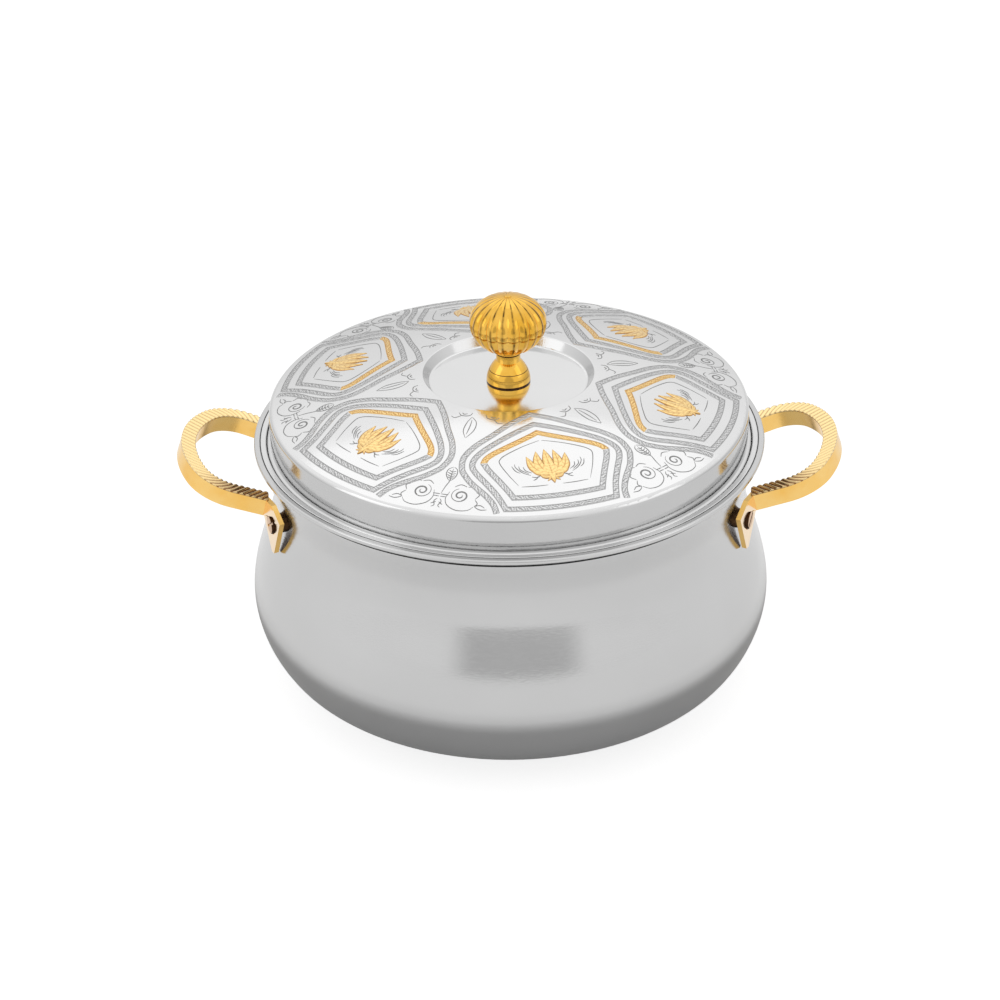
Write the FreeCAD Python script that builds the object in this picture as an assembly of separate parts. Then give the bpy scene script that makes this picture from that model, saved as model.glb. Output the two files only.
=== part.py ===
import FreeCAD, Part
import math
import os

# Insulated serving pot with a lift-off lid, two cast handles and a gadrooned knob.
# Millimetres.  +Z is up, the origin is the centre of the underside, and the handles
# stand out along +X and -X.

# ------------------------------------------------------------------ driving sizes
# Sheet metal
sheet = 0.8                 # thickness of every pressed steel piece

# Mouth and lip of the pot
rim_radius = 120.0
lip_height = 2.5
lip_width = 2.9             # from the groove out to the rim
lip_round = 1.0
rim_gap = 0.15              # fine groove between the lip and the bowl's flange
flange_width = 2.8
flange_height = 1.4
flange_round = 0.5

# Outline of the outer shell, from the base ring up, measured in or out from the rim
base_inset = 33.8           # where the flank leaves the base ring
base_roll = 4.0             # radius that rolls the base ring into the flank
flank_angle = 32.0          # degrees from level, where the flank leaves the ring
flank_inset = 4.4           # half way up the flank
flank_height = 20.0
flank_turn = 55.0           # degrees from level
belly_overhang = 4.2        # the belly stands out past the rim
belly_height = 47.0
shoulder_inset = 2.3
shoulder_rise = 29.0        # from the belly up
shoulder_turn = 109.0       # degrees from level: the wall leans in
neck_inset = 7.8
neck_rise = 22.5            # from the shoulder up
throat_inset = 3.0
throat_rise = 25.0          # from the neck up to the lip
throat_turn = 78.0          # degrees from level: the wall flares out again

# Inner bowl
seat_depth = 6.0            # ledge for the lid, below the rim
seat_round = 1.2
mouth_round = 1.8
ledge_width = 9.65          # from the bore in to the wall below it
bowl_taper = 1.5            # how much less the radius is at the floor
bowl_corner = 28.0
bowl_floor = 14.0           # height of the floor above the table

# Base cover
base_land = 8.2             # from the flank in to the hole in the base
collar_height = 7.0         # turned-up edge of that hole
collar_round = 1.5
cover_gap = 0.1             # press-in clearance of the cover
cover_recess = 2.5          # underside of the cover above the table
panel_inset = 16.0          # from the hole in to the cover's raised panel
panel_rise = 1.5
panel_slope = 3.0
press_round = 1.0           # small radii of the pressing
filler_radius = 7.0         # hole through which the foam is poured
plug_head_radius = 10.0
plug_head = 1.4
plug_length = 6.0
plug_barb = 0.8

# Lid
lid_gap = 1.95              # between the lid's skirt and the bore of the bowl
lid_edge_round = 3.0
dome_rise = 32.7            # apex of the dome's sphere above the rim
dome_radius = 386.0
recess_radius = 40.0        # edge of the mirror disc
recess_depth = 4.5
recess_slope = 3.0
recess_round = 1.2
spigot_gap = 2.0            # liner's raised centre inside the bowl's mouth
spigot_depth = 4.0
spigot_slope = 1.5
spigot_round = 2.0
lift_hole_gap = 0.15        # clearance of the knob's screw in the lid

# Knob
knob_foot_radius = 10.3
knob_bulb_height = 10.7     # foot up to the neck
knob_bulb_middle = 9.9      # radius of the bell a third of the way up
knob_bulb_top = 8.4         # and two thirds up
bulb_lean_middle = 104.0    # degrees from level, at those two places
bulb_lean_top = 120.0
bulb_lean_neck = 136.0      # and where the bell meets the neck
knob_neck_radius = 5.65
knob_neck_height = 4.0
knob_collar_radius = 6.1
knob_collar_height = 1.1
ball_radius = 17.9
ball_rise = 14.3            # from the collar to the widest place
ball_crown = 12.8           # from the widest place to the top
ball_seat_radius = 6.1
rings_below = (1.0, 0.78, 0.52, 0.26)          # places of the ball's rings, from the seat
rings_above = (0, 0.27, 0.52, 0.75, 0.9, 1.0)   # over the widest place to the button
lobe_count = 20
lobe_depth = 0.9
button_radius = 1.8
button_height = 0.5
button_root = 1.0           # how far the button goes down into the ball
knob_screw_radius = 2.5
knob_screw_reach = 5.0      # thread inside the ball
knob_screw_head_radius = 4.5
knob_screw_head = 3.0
knob_washer_radius = 12.0
knob_washer = 1.5

# Handles
foot_angle = 20.3           # bearing of each screw from the X axis, degrees
foot_turn = 28.0            # bearing that each foot faces, degrees
foot_rise = 0.7             # screw above the neck
foot_thickness = 2.4
foot_half_width = 10.2
foot_shoulder = 5.0         # widest place, above the screw
foot_drop = 14.8            # tip, below the screw
foot_tip_half = 1.2
foot_crest_across = 1.7     # where the slanting shoulder ends, across from the screw
standoff = 3.3              # between the wall and the foot, at the screw
foot_clearance = 0.4        # least room between the wall and the casting
bar_width = 6.6
bar_height = 8.2
bar_slope = 19.3            # degrees: the whole loop rises outwards
bar_reach = 41.3            # middle of the bar at the end of the loop, out from the neck
bar_tip_round = 49.0
bar_corner = 20.0
bar_beside = 6.9            # middle of the bar, inwards of the screw
bar_spread = 4.9            # degrees: the legs open towards the end
bar_root_rise = 10.8        # top of the bar at the neck, above the screw
gusset_reach = 2.0          # along the bar's lower edge
gusset_across = 6.2         # its corner on the foot, across from the screw
gusset_above = 7.3          # and above the screw
gusset_sink = 0.5           # how far its edges run into the foot and the bar

# Handle fasteners
screw_radius = 2.4
hole_gap = 0.1
head_radius = 4.4
head_height = 1.5
head_sink = 0.7             # of the head's seat into the face of the foot
head_room = 0.3             # round the head, in its seat
head_round = 0.5
slot_width = 1.1
slot_depth = 0.7
slot_angle = 35.0
spacer_radius = 4.6
washer_radius = 7.0
washer_thickness = 1.2
nut_flats = 8.0
nut_height = 3.0
screw_end = 0.5             # thread that stands past the nut

# ------------------------------------------------------------------ derived places
base_radius = rim_radius - base_inset
flank_radius = rim_radius - flank_inset
belly_radius = rim_radius + belly_overhang
shoulder_radius = rim_radius - shoulder_inset
neck_radius = rim_radius - neck_inset
throat_radius = rim_radius - throat_inset
opening_radius = base_radius - base_land
panel_radius = opening_radius - panel_inset
shoulder_height = belly_height + shoulder_rise
neck_height = shoulder_height + neck_rise
throat_height = neck_height + throat_rise
rim_height = throat_height + lip_height
groove_radius = rim_radius - lip_width
flange_radius = groove_radius - rim_gap
bore_radius = flange_radius - flange_width
bowl_radius = bore_radius - ledge_width
flange_seat = rim_height - flange_height
seat_height = rim_height - seat_depth
lid_radius = bore_radius - lid_gap
skirt_height = seat_height + sheet
dome_centre = rim_height + dome_rise - dome_radius
screw_height = neck_height + foot_rise
foot_face = neck_radius + standoff
bar_tip = neck_radius + bar_reach


# ------------------------------------------------------------------ outlines
def at(radius, height):
    """A point of a turned outline, in the XZ plane."""
    return FreeCAD.Vector(radius, 0, height)


def heading(degrees):
    """Unit direction in the XZ plane, measured from level."""
    angle = math.radians(degrees)
    return FreeCAD.Vector(math.cos(angle), 0, math.sin(angle))


def rounded_edges(corners):
    """Lines joined by tangent arcs.  A corner is (radius, height, rounding)."""
    edges = []
    start = at(corners[0][0], corners[0][1])
    for before, corner, after in zip(corners, corners[1:], corners[2:]):
        vertex = at(corner[0], corner[1])
        back = (at(before[0], before[1]) - vertex).normalize()
        ahead = (at(after[0], after[1]) - vertex).normalize()
        half = back.getAngle(ahead) / 2
        if corner[2] > 0:
            reach = corner[2] / math.tan(half)
            first = vertex + back * reach
            last = vertex + ahead * reach
            bisector = (back + ahead).normalize()
            middle = vertex + bisector * (corner[2] / math.sin(half) - corner[2])
            edges.append(Part.makeLine(start, first))
            edges.append(Part.Arc(first, middle, last).toShape())
            start = last
        else:
            edges.append(Part.makeLine(start, vertex))
            start = vertex
    edges.append(Part.makeLine(start, at(corners[-1][0], corners[-1][1])))
    return edges


def turned(edges):
    """Solid turned about Z from a closed outline."""
    return Part.Face(Part.Wire(edges)).revolve(at(0, 0), at(0, 1), 360)


def turned_corners(corners):
    """Solid turned from a closed polygon whose corners may be rounded."""
    middle = ((corners[0][0] + corners[-1][0]) / 2, (corners[0][1] + corners[-1][1]) / 2, 0)
    return turned(rounded_edges([middle] + corners + [middle]))


def turned_skin(edges, thickness):
    """Sheet of even thickness, laid on the left of an open outline and turned."""
    band = Part.Wire(edges).makeOffset2D(thickness, 0, True, True, False)
    return band.revolve(at(0, 0), at(0, 1), 360)


def inset_edges(edges, inset):
    """The same open outline, moved to its left by an inset."""
    return Part.Wire(edges).makeOffset2D(inset, 0, False, True, False).OrderedEdges


def closed_to_axis(edges):
    """Closes an outline with a level line to the axis at each end."""
    wire = Part.Wire(edges)
    first = wire.OrderedVertexes[0].Point
    last = wire.OrderedVertexes[-1].Point
    lines = []
    if last.x > 0:
        lines.append(Part.makeLine(last, at(0, last.z)))
    lines.append(Part.makeLine(at(0, last.z), at(0, first.z)))
    if first.x > 0:
        lines.append(Part.makeLine(at(0, first.z), first))
    return list(wire.OrderedEdges) + lines


def one_solid(shape):
    """Merges split faces and drops the compound around a single solid."""
    clean = shape.removeSplitter()
    if len(clean.Solids) == 1:
        return clean.Solids[0]
    return clean


def save(shape, name):
    shape.exportStep("parts/" + name + ".step")


# ------------------------------------------------------------------ outer shell
def wall_edges(inset):
    """Roll of the base and the wall above it, moved into the pot by an inset."""
    roll = math.radians(flank_angle)
    centre = at(base_radius - base_roll * math.sin(roll), base_roll)
    reach = base_roll - inset
    base = Part.Arc(
        centre - at(0, reach),
        centre + heading(flank_angle / 2 - 90) * reach,
        centre + heading(flank_angle - 90) * reach,
    ).toShape()
    stations = [
        (base_radius, base_roll * (1 - math.cos(roll)), flank_angle),
        (flank_radius, flank_height, flank_turn),
        (belly_radius, belly_height, 90),
        (shoulder_radius, shoulder_height, shoulder_turn),
        (neck_radius, neck_height, 90),
        (throat_radius, throat_height, throat_turn),
    ]
    curve = Part.BSplineCurve()
    curve.interpolate(
        Points=[at(radius, height) + heading(turn + 90) * inset for radius, height, turn in stations],
        Tangents=[heading(turn) for radius, height, turn in stations],
        TangentFlags=[True] * len(stations),
    )
    return [base, curve.toShape()]


def first_point(edges):
    return edges[0].Vertexes[0].Point


def last_point(edges):
    return edges[-1].Vertexes[-1].Point


def shell_solid():
    """One pressed sheet, from the base's collar round to the lip and back."""
    outside = wall_edges(0)
    inside = wall_edges(sheet)
    base = first_point(outside).x
    top = last_point(inside)
    collar = rounded_edges([
        (opening_radius, collar_height, 0),
        (opening_radius, 0, collar_round),
        (base, 0, 0),
    ])
    lip = rounded_edges([
        (throat_radius, throat_height, 0),
        (rim_radius, throat_height, lip_round),
        (rim_radius, rim_height, lip_round),
        (groove_radius, rim_height, flange_round),
        (groove_radius, flange_seat, 0),
        (top.x, flange_seat, 0),
        (top.x, top.z, 0),
    ])
    collar_inside = rounded_edges([
        (base, sheet, 0),
        (opening_radius + sheet, sheet, collar_round - sheet),
        (opening_radius + sheet, collar_height, 0),
        (opening_radius, collar_height, 0),
    ])
    return turned(Part.__sortEdges__(collar + outside + lip + inside + collar_inside))


pot_solid = turned(closed_to_axis(wall_edges(0)))
cavity_solid = turned(closed_to_axis(wall_edges(sheet)))


# ------------------------------------------------------------------ inner bowl
def bowl_solid(grow, top):
    """Space of the bowl, grown by the sheet for its outer face."""
    return turned_corners([
        (0, bowl_floor - grow, 0),
        (bowl_radius - bowl_taper + grow, bowl_floor - grow, bowl_corner + grow),
        (bowl_radius + grow, seat_height - grow, mouth_round - grow),
        (bore_radius + grow, seat_height - grow, seat_round + grow),
        (bore_radius + grow, top, 0),
        (0, top, 0),
    ])


bowl_flange = turned_corners([
    (bore_radius, flange_seat, 0),
    (flange_radius, flange_seat, 0),
    (flange_radius, rim_height, flange_round),
    (bore_radius, rim_height, flange_round),
])
bowl_outside = bowl_solid(sheet, flange_seat)
inner_bowl = one_solid(bowl_outside.cut(bowl_solid(0, rim_height)).fuse(bowl_flange))


# ------------------------------------------------------------------ base cover
panel_height = cover_recess + panel_rise
panel_end = panel_radius + panel_slope
cover_radius = opening_radius - cover_gap
cover_edges = rounded_edges([
    (filler_radius, panel_height, 0),
    (panel_radius, panel_height, press_round),
    (panel_end, cover_recess, press_round + sheet),
    (cover_radius, cover_recess, press_round + sheet),
    (cover_radius, collar_height, 0),
])
base_cover = turned_skin(cover_edges, sheet)
below_cover = turned(closed_to_axis(rounded_edges([
    (0, 0, 0),
    (opening_radius + 2 * collar_round, 0, 0),
    (opening_radius + 2 * collar_round, sheet, 0),
    (opening_radius + sheet, sheet, collar_round - sheet),
    (opening_radius + sheet, collar_height, 0),
    (cover_radius - sheet, collar_height, 0),
]) + inset_edges(cover_edges, sheet)[::-1]))

plug_top = panel_height - plug_head + plug_length
filler_plug = turned_corners([
    (0, panel_height - plug_head, 0),
    (plug_head_radius, panel_height - plug_head, press_round),
    (plug_head_radius, panel_height, 0),
    (filler_radius, panel_height, 0),
    (filler_radius, panel_height + sheet, 0),
    (filler_radius + plug_barb, panel_height + sheet, 0),
    (filler_radius - plug_barb, plug_top, 0),
    (0, plug_top, 0),
])


# ------------------------------------------------------------------ handle fasteners
def radial_placement(bearing):
    """Turns local +Z outwards along a bearing and local +Y up, at the screws' height."""
    turn = FreeCAD.Rotation(at(0, 1), bearing)
    tip = FreeCAD.Rotation(FreeCAD.Vector(0, 1, 0), 90)
    stand = FreeCAD.Rotation(at(0, 1), 90)
    return FreeCAD.Placement(at(0, screw_height), turn.multiply(tip).multiply(stand))


def placed(shape, bearing):
    moved = shape.copy()
    moved.Placement = radial_placement(bearing)
    return moved


def rod(radius, start, end):
    """Cylinder along local Z between two distances from the pot's axis."""
    return Part.makeCylinder(radius, end - start, at(0, start))


wall_inside = neck_radius - sheet
washer_back = math.sqrt(wall_inside ** 2 - washer_radius ** 2)
washer_face = washer_back - washer_thickness
nut_face = washer_face - nut_height
head_seat = foot_face + foot_thickness - head_sink
head_top = head_seat + head_height
hole_radius = screw_radius + hole_gap


def screw_shape():
    """Slotted screw whose head is let into the foot."""
    head = turned_corners([
        (0, head_seat, 0),
        (head_radius, head_seat, 0),
        (head_radius, head_top, head_round),
        (0, head_top, 0),
    ])
    shank = rod(screw_radius, nut_face - screw_end, head_seat)
    slot = Part.makeBox(
        2 * head_radius, slot_width, slot_depth,
        FreeCAD.Vector(-head_radius, -slot_width / 2, head_top - slot_depth),
    )
    slot.rotate(at(0, 0), at(0, 1), slot_angle)
    return one_solid(head.fuse(shank).cut(slot))


def hexagon():
    """Blank of the nut, before its hole."""
    corner = nut_flats / 2 / math.cos(math.pi / 6)
    points = [
        FreeCAD.Vector(corner * math.cos(k * math.pi / 3), corner * math.sin(k * math.pi / 3), nut_face)
        for k in range(7)
    ]
    return Part.Face(Part.makePolygon(points)).extrude(at(0, nut_height))


# ------------------------------------------------------------------ handles
def foot_point(across, above, out):
    """Point of a foot: across (away from the X axis), above the screw, and out from its back."""
    bearing = math.radians(foot_angle)
    turn = math.radians(foot_turn)
    return FreeCAD.Vector(
        foot_face * math.cos(bearing) + out * math.cos(turn) - across * math.sin(turn),
        foot_face * math.sin(bearing) + out * math.sin(turn) + across * math.cos(turn),
        screw_height + above,
    )


def foot_slab(outline, back, front):
    """Slab between two planes parallel to the foot's face, from its (across, above) corners."""
    points = [foot_point(across, above, back) for across, above in outline]
    face = Part.Face(Part.makePolygon(points + points[:1]))
    return face.extrude(foot_point(0, 0, front) - foot_point(0, 0, back))


def beside_foot(back, front):
    """Slab well wider and taller than the foot, to trim what meets its back."""
    half = 3 * foot_half_width
    return foot_slab([(-half, -half), (half, -half), (half, half), (-half, half)], back, front)


def bar_root():
    """Where the middle of a leg meets the back of its foot, in plan."""
    root = foot_point(-bar_beside, 0, 0)
    root.z = 0
    return root


def leg_directions():
    """Unit directions in plan: along a leg, outwards, and across it, towards the X axis."""
    slant = math.radians(bar_spread)
    along = FreeCAD.Vector(math.cos(slant), math.sin(slant), 0)
    inward = FreeCAD.Vector(math.sin(slant), -math.cos(slant), 0)
    return along, inward


def bar_outline(offset):
    """Half of the loop in plan, offset outwards: leg, corner arc and half the tip arc."""
    along, inward = leg_directions()
    root = bar_root()
    tip_centre = FreeCAD.Vector(bar_tip - bar_tip_round, 0, 0)
    start = root + inward * bar_corner - tip_centre
    reach = bar_tip_round - bar_corner
    drift = start.dot(along)
    run = -drift + math.sqrt(drift * drift - start.dot(start) + reach * reach)
    corner_centre = root + inward * bar_corner + along * run
    leg_end = corner_centre - inward * (bar_corner + offset)
    outward = (corner_centre - tip_centre).normalize()
    corner_end = corner_centre + outward * (bar_corner + offset)
    middle = (outward - inward).normalize()
    leg_start = root - along * bar_width - inward * offset
    tip = FreeCAD.Vector(bar_tip + offset, 0, 0)
    return leg_start, leg_end, corner_centre + middle * (bar_corner + offset), corner_end, tip


def mirrored(point):
    return FreeCAD.Vector(point.x, -point.y, point.z)


def loop_edges(offset):
    """The whole loop in plan, from one leg round to the other."""
    leg_start, leg_end, corner_middle, corner_end, tip = bar_outline(offset)
    return [
        Part.makeLine(leg_start, leg_end),
        Part.Arc(leg_end, corner_middle, corner_end).toShape(),
        Part.Arc(corner_end, tip, mirrored(corner_end)).toShape(),
        Part.Arc(mirrored(corner_end), mirrored(corner_middle), mirrored(leg_end)).toShape(),
        Part.makeLine(mirrored(leg_end), mirrored(leg_start)),
    ]


def tilted(shape):
    """Lifts the flat loop to its height and tilts it up about the neck."""
    moved = shape.copy()
    moved.translate(at(0, screw_height + bar_root_rise))
    moved.rotate(at(neck_radius, screw_height + bar_root_rise), FreeCAD.Vector(0, 1, 0), -bar_slope)
    return moved


def bar_solid():
    """Loop of the handle: a flat band, square to its own plane, tilted up as a whole."""
    outside = loop_edges(bar_width / 2)
    inside = loop_edges(-bar_width / 2)
    ends = [
        Part.makeLine(outside[0].Vertexes[0].Point, inside[0].Vertexes[0].Point),
        Part.makeLine(mirrored(outside[0].Vertexes[0].Point), mirrored(inside[0].Vertexes[0].Point)),
    ]
    plan = Part.Face(Part.Wire(Part.__sortEdges__(outside + inside + ends)))
    return tilted(plan.extrude(at(0, -bar_height)))


def foot_solid():
    """Shield-shaped foot on the +Y side."""
    outline = [
        (foot_tip_half, -foot_drop),
        (foot_half_width, foot_shoulder),
        (foot_crest_across, bar_root_rise),
        (-foot_half_width, bar_root_rise),
        (-foot_half_width, foot_shoulder),
        (-foot_tip_half, -foot_drop),
    ]
    return foot_slab(outline, 0, foot_thickness)


def tetrahedron(points):
    """Solid with four corners."""
    faces = []
    for skip in range(4):
        corners = [point for k, point in enumerate(points) if k != skip]
        faces.append(Part.Face(Part.makePolygon(corners + corners[:1])))
    return Part.Solid(Part.Shell(faces))


def gusset_solid():
    """Slanting web in the corner between the foot's face and the bar's outer side."""
    along, inward = leg_directions()
    beside = bar_root() - inward * (bar_width / 2)
    face_point = foot_point(0, 0, foot_thickness)
    normal = face_point - foot_point(0, 0, 0)
    corners = []
    for below in (0, bar_height):
        edge = tilted(Part.makeLine(beside - at(0, below), beside + along * bar_reach - at(0, below)))
        start, end = (vertex.Point for vertex in edge.Vertexes)
        run = (face_point - start).dot(normal) / (end - start).dot(normal)
        corners.append(start + (end - start) * run)
        step = (end - start).normalize()
    top, low = corners
    heel = low + inward * gusset_sink - step * gusset_sink
    return tetrahedron([
        top,
        heel,
        low + step * gusset_reach,
        foot_point(gusset_across, gusset_above, foot_thickness),
    ])


def handle_solid():
    """One casting: loop, two feet and two gussets, drilled for its screws."""
    plate = foot_solid()
    behind = beside_foot(-2 * bar_width, 0)
    bar = bar_solid()
    bar = bar.cut(behind)
    bar = bar.cut(behind.mirror(at(0, 0), FreeCAD.Vector(0, 1, 0)))
    gusset = gusset_solid()
    body = bar.fuse([
        plate,
        plate.mirror(at(0, 0), FreeCAD.Vector(0, 1, 0)),
        gusset,
        gusset.mirror(at(0, 0), FreeCAD.Vector(0, 1, 0)),
    ])
    seat = rod(head_radius + head_room, head_seat, head_seat + foot_drop)
    hole = rod(hole_radius, neck_radius, head_seat)
    hollows = [turned(closed_to_axis(wall_edges(-foot_clearance)))]
    for side in (1, -1):
        hollows += [placed(seat, side * foot_angle), placed(hole, side * foot_angle)]
    return one_solid(body.cut(hollows))


def spacer_solid():
    """Sleeve on the +Y screw, from the wall to the slanting back of the foot."""
    longest = foot_face + spacer_radius
    sleeve = rod(spacer_radius, wall_inside, longest).cut(rod(hole_radius, wall_inside, longest))
    return one_solid(placed(sleeve, foot_angle).cut([pot_solid, beside_foot(0, 2 * spacer_radius)]))


# ------------------------------------------------------------------ lid
def lid_edges():
    """Upper face of the lid, from the knob's hole out and down to the skirt's edge."""
    edge_x = lid_radius - lid_edge_round
    reach = dome_radius - lid_edge_round
    edge_z = dome_centre + math.sqrt(reach ** 2 - edge_x ** 2)
    lean = math.atan2(edge_x, edge_z - dome_centre)
    dome_end = at(dome_radius * math.sin(lean), dome_centre + dome_radius * math.cos(lean))
    half = (lean + math.pi / 2) / 2
    edge_middle = at(edge_x + lid_edge_round * math.sin(half), edge_z + lid_edge_round * math.cos(half))
    start_x = recess_radius + recess_round
    start_lean = math.asin(start_x / dome_radius)
    start_z = dome_centre + dome_radius * math.cos(start_lean)
    rim_z = start_z + (start_x - recess_radius) * math.tan(start_lean)
    middle_lean = (start_lean + lean) / 2
    dome_middle = at(dome_radius * math.sin(middle_lean),
                     dome_centre + dome_radius * math.cos(middle_lean))
    hole = knob_screw_radius + lift_hole_gap
    floor_z = rim_z - recess_depth
    dish = rounded_edges([
        (hole, floor_z, 0),
        (recess_radius - recess_slope, floor_z, recess_round),
        (recess_radius, rim_z, recess_round / 2),
        (start_x, start_z, 0),
    ])
    dome = Part.Arc(at(start_x, start_z), dome_middle, dome_end).toShape()
    edge = Part.Arc(dome_end, edge_middle, at(lid_radius, edge_z)).toShape()
    skirt = Part.makeLine(at(lid_radius, edge_z), at(lid_radius, skirt_height))
    return dish + [dome, edge, skirt], floor_z


cover_outline, disc_height = lid_edges()
lid_cover = turned_skin(cover_outline, -sheet)

spigot_radius = bowl_radius - spigot_gap
spigot_height = seat_height - spigot_depth
liner_edges = rounded_edges([
    (0, spigot_height, 0),
    (spigot_radius - spigot_slope, spigot_height, spigot_round),
    (spigot_radius, seat_height, press_round),
    (lid_radius, seat_height, 0),
])
lid_liner = turned_skin(liner_edges, sheet)

knob_washer_top = disc_height - sheet
knob_washer_seat = knob_washer_top - knob_washer
knob_washer_solid = turned_corners([
    (knob_screw_radius, knob_washer_seat, 0),
    (knob_washer_radius, knob_washer_seat, 0),
    (knob_washer_radius, knob_washer_top, 0),
    (knob_screw_radius, knob_washer_top, 0),
])

neck_base = disc_height + knob_bulb_height
neck_top = neck_base + knob_neck_height
ball_seat = neck_top + knob_collar_height
ball_centre = ball_seat + ball_rise


def stem_solid():
    """Turned stem: bell foot, sharp shoulder, neck and collar under the ball."""
    bell = Part.BSplineCurve()
    bell.interpolate(
        Points=[
            at(knob_foot_radius, disc_height),
            at(knob_bulb_middle, disc_height + knob_bulb_height / 3),
            at(knob_bulb_top, disc_height + 2 * knob_bulb_height / 3),
            at(knob_neck_radius, neck_base),
        ],
        Tangents=[heading(90), heading(bulb_lean_middle), heading(bulb_lean_top), heading(bulb_lean_neck)],
        TangentFlags=[True, True, True, True],
    )
    edges = [bell.toShape()] + rounded_edges([
        (knob_neck_radius, neck_base, 0),
        (knob_neck_radius, neck_top, 0),
        (knob_collar_radius, neck_top, knob_collar_height / 2),
        (knob_collar_radius, ball_seat, 0),
    ])
    stem = turned(closed_to_axis(edges))
    bore = Part.makeCylinder(knob_screw_radius, ball_seat - disc_height, at(0, disc_height))
    return stem.cut(bore)


def lobed_wire(radius, height, depth):
    """Closed ring of equal arcs that bulge outwards between the valleys."""
    step = 2 * math.pi / lobe_count
    arcs = []
    for k in range(lobe_count):
        points = []
        for part, reach in ((0, radius - depth), (0.5, radius), (1, radius - depth)):
            angle = (k + part) * step
            points.append(FreeCAD.Vector(reach * math.cos(angle), reach * math.sin(angle), height))
        arcs.append(Part.Arc(points[0], points[1], points[2]).toShape())
    return Part.Wire(arcs)


def ball_solid():
    """Gadrooned ball: lobed rings lofted from the seat over the widest place to the crown."""
    low = -math.acos(ball_seat_radius / ball_radius)
    high = math.acos(button_radius / ball_radius)
    below = ball_rise / math.sin(-low)
    above = ball_crown / math.sin(high)
    rings = []
    for share in rings_below:
        angle = low * share
        rings.append((ball_radius * math.cos(angle), below * math.sin(angle)))
    for share in rings_above:
        angle = high * share
        rings.append((ball_radius * math.cos(angle), above * math.sin(angle)))
    wires = [
        lobed_wire(radius, ball_centre + rise, lobe_depth * radius / ball_radius)
        for radius, rise in rings
    ]
    ball = Part.makeLoft(wires, True, False)
    top = ball_centre + ball_crown
    button = turned_corners([
        (0, top - button_root, 0),
        (button_radius, top - button_root, 0),
        (button_radius, top + button_height, button_height),
        (0, top + button_height, 0),
    ])
    bore = Part.makeCylinder(knob_screw_radius, knob_screw_reach, at(0, ball_seat))
    return one_solid(ball.fuse(button).cut(bore))


screw_top = ball_seat + knob_screw_reach
knob_screw = turned_corners([
    (0, knob_washer_seat - knob_screw_head, 0),
    (knob_screw_head_radius, knob_washer_seat - knob_screw_head, press_round),
    (knob_screw_head_radius, knob_washer_seat, 0),
    (knob_screw_radius, knob_washer_seat, 0),
    (knob_screw_radius, screw_top, 0),
    (0, screw_top, 0),
])

# ------------------------------------------------------------------ build and save
os.makedirs("parts", exist_ok=True)

bearings = {
    "right": (foot_angle, -foot_angle),
    "left": (180 - foot_angle, 180 + foot_angle),
}
shell = shell_solid()
screw = screw_shape()
blank = hexagon()
nut = blank.cut(rod(screw_radius, nut_face, washer_face))
washer = rod(washer_radius, washer_face, washer_back).cut(rod(hole_radius, washer_face, washer_back))
bore = rod(hole_radius, nut_face, foot_face)
pocket = [
    rod(washer_radius, washer_face, neck_radius),
    blank,
    rod(screw_radius, nut_face - screw_end, nut_face),
]

pockets = []
for side, pair in bearings.items():
    for bearing in pair:
        shell = shell.cut(placed(bore, bearing))
        pockets += [placed(hollow, bearing) for hollow in pocket]
    save(Part.Compound([placed(screw, bearing) for bearing in pair]), "handle_screws_" + side)
    save(Part.Compound([placed(nut, bearing) for bearing in pair]), "handle_nuts_" + side)
    save(Part.Compound([placed(washer, bearing) for bearing in pair]), "handle_washers_" + side)

spacer = spacer_solid()
right_spacers = Part.Compound([spacer, spacer.mirror(at(0, 0), FreeCAD.Vector(0, 1, 0))])
right_handle = handle_solid()
save(right_spacers, "handle_spacers_right")
save(right_spacers.mirror(at(0, 0), FreeCAD.Vector(1, 0, 0)), "handle_spacers_left")
save(right_handle, "handle_right")
save(right_handle.mirror(at(0, 0), FreeCAD.Vector(1, 0, 0)), "handle_left")

foam = cavity_solid.cut([bowl_outside, below_cover, filler_plug] + pockets)
foam_top = Part.makeCylinder(rim_radius, rim_height, at(0, seat_height - sheet))
foam = one_solid(foam.cut(foam_top))

under_cover = turned(closed_to_axis(inset_edges(cover_outline, -sheet)))
over_liner = turned(closed_to_axis(inset_edges(liner_edges, sheet)))
lid_foam = under_cover.fuse(over_liner).cut([knob_washer_solid, knob_screw])

save(one_solid(shell), "outer_shell")
save(inner_bowl, "inner_bowl")
save(foam, "body_insulation")
save(base_cover, "base_cover")
save(filler_plug, "filler_plug")
save(lid_cover, "lid_cover")
save(lid_liner, "lid_liner")
save(one_solid(lid_foam), "lid_insulation")
save(stem_solid(), "knob_stem")
save(ball_solid(), "knob_ball")
save(knob_screw, "knob_screw")
save(knob_washer_solid, "knob_washer")
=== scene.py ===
# %% [markdown]
# A lidded serving pot in polished steel, with gilt handles and a gilt knob.
# The metal parts were made in CAD and arrive as a fixed frame: every solid is in place,
# to its real size. This lesson dresses them. It gives each metal its finish, then adds
# what is cut or pressed into the real surfaces: the lid's ornament, the twisted ridges
# of the handles and the fine marks of polishing.

# %% The frame
import math

import bpy
import numpy as np
from mathutils import Matrix, Vector


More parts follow.
